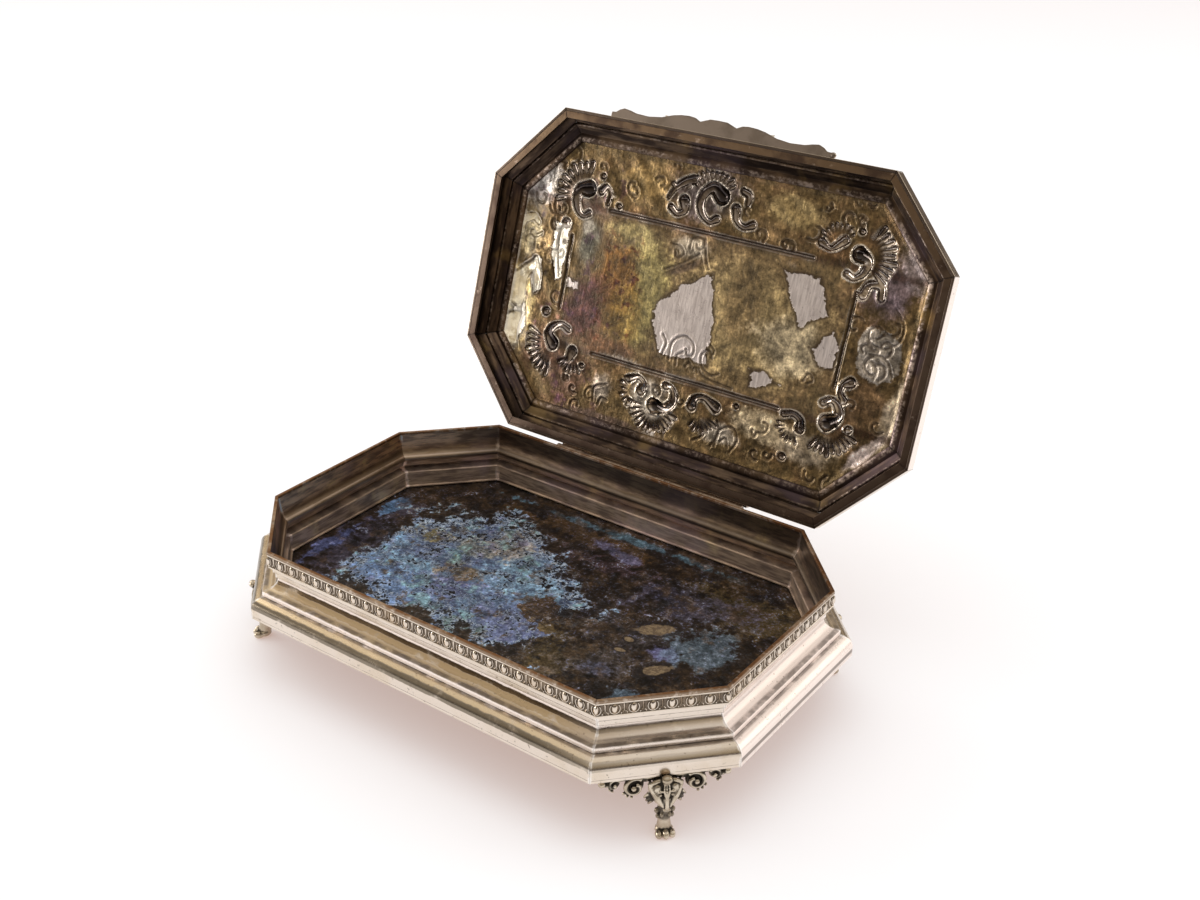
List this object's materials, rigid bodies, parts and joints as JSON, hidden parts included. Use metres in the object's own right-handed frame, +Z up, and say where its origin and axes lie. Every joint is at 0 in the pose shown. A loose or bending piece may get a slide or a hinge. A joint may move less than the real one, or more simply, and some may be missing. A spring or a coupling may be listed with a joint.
{
  "type": "footed silver box with hinged lid",
  "caption": "Eight-sided silver table box with moulded sides, egg and dart rim, hinged chased lid with thumbpiece, and four cast mask feet.",
  "frame": {"origin": "middle of the footprint of the box and its open lid, on the surface that the feet stand on", "axes": "+X along the length of the box to its right end, +Y from the front to the hinge, +Z up"},
  "size_m": [0.2144, 0.1886, 0.1757],
  "materials": {
    "silver_wall": "bright polished silver with warm reflections, worn and pitted",
    "silver_gallery": "stamped silver wire with dark tarnish in its grounds",
    "silver_rim": "flat wire with a thin copper-brown tarnish",
    "silver_lining": "dark brown tarnished silver",
    "silver_floor": "silver with dark blue and brown tarnish",
    "silver_cast": "cast silver, bright on its high places and black in its hollows",
    "silver_hinge": "drawn silver tube, brown with tarnish",
    "silver_lid_edge": "silver, polished outside and brown inside",
    "silver_lid_seat": "flat silver strip with brown tarnish",
    "silver_lid_panel": "chased silver sheet with olive and brown tarnish inside",
    "silver_thumb": "silver plate with an even grey tarnish"
  },
  "bodies": {
    "box_body": {"wall_front": "silver_wall", "wall_front_right": "silver_wall", "wall_right": "silver_wall", "wall_back_right": "silver_wall", "wall_back": "silver_wall", "wall_back_left": "silver_wall", "wall_left": "silver_wall", "wall_front_left": "silver_wall", "gallery_front": "silver_gallery", "gallery_front_right": "silver_gallery", "gallery_right": "silver_gallery", "gallery_back_right": "silver_gallery", "gallery_hinge_right": "silver_gallery", "gallery_hinge_left": "silver_gallery", "gallery_back_left": "silver_gallery", "gallery_left": "silver_gallery", "gallery_front_left": "silver_gallery", "rim_wire": "silver_rim", "lining_front": "silver_lining", "lining_front_right": "silver_lining", "lining_right": "silver_lining", "lining_back_right": "silver_lining", "lining_back": "silver_lining", "lining_back_left": "silver_lining", "lining_left": "silver_lining", "lining_front_left": "silver_lining", "floor_plate": "silver_floor", "foot_front_right": "silver_cast", "foot_back_right": "silver_cast", "foot_back_left": "silver_cast", "foot_front_left": "silver_cast", "hinge_plate_box": "silver_hinge", "hinge_knuckles_box": "silver_hinge", "hinge_pin": "silver_hinge"},
    "lid": {"lid_edge_front": "silver_lid_edge", "lid_edge_front_right": "silver_lid_edge", "lid_edge_right": "silver_lid_edge", "lid_edge_back_right": "silver_lid_edge", "lid_edge_back": "silver_lid_edge", "lid_edge_back_left": "silver_lid_edge", "lid_edge_left": "silver_lid_edge", "lid_edge_front_left": "silver_lid_edge", "lid_seat_front": "silver_lid_seat", "lid_seat_front_right": "silver_lid_seat", "lid_seat_right": "silver_lid_seat", "lid_seat_back_right": "silver_lid_seat", "lid_seat_back": "silver_lid_seat", "lid_seat_back_left": "silver_lid_seat", "lid_seat_left": "silver_lid_seat", "lid_seat_front_left": "silver_lid_seat", "lid_panel": "silver_lid_panel", "thumbpiece": "silver_thumb", "hinge_plate_lid": "silver_hinge", "hinge_knuckles_lid": "silver_hinge"}
  },
  "joints": [
    {"name": "lid_hinge", "type": "hinge", "parent": "box_body", "child": "lid", "pos_m": [0, 0.04361, 0.0452], "axis": [1, 0, 0], "range_deg": [0, 107.9]}
  ]
}
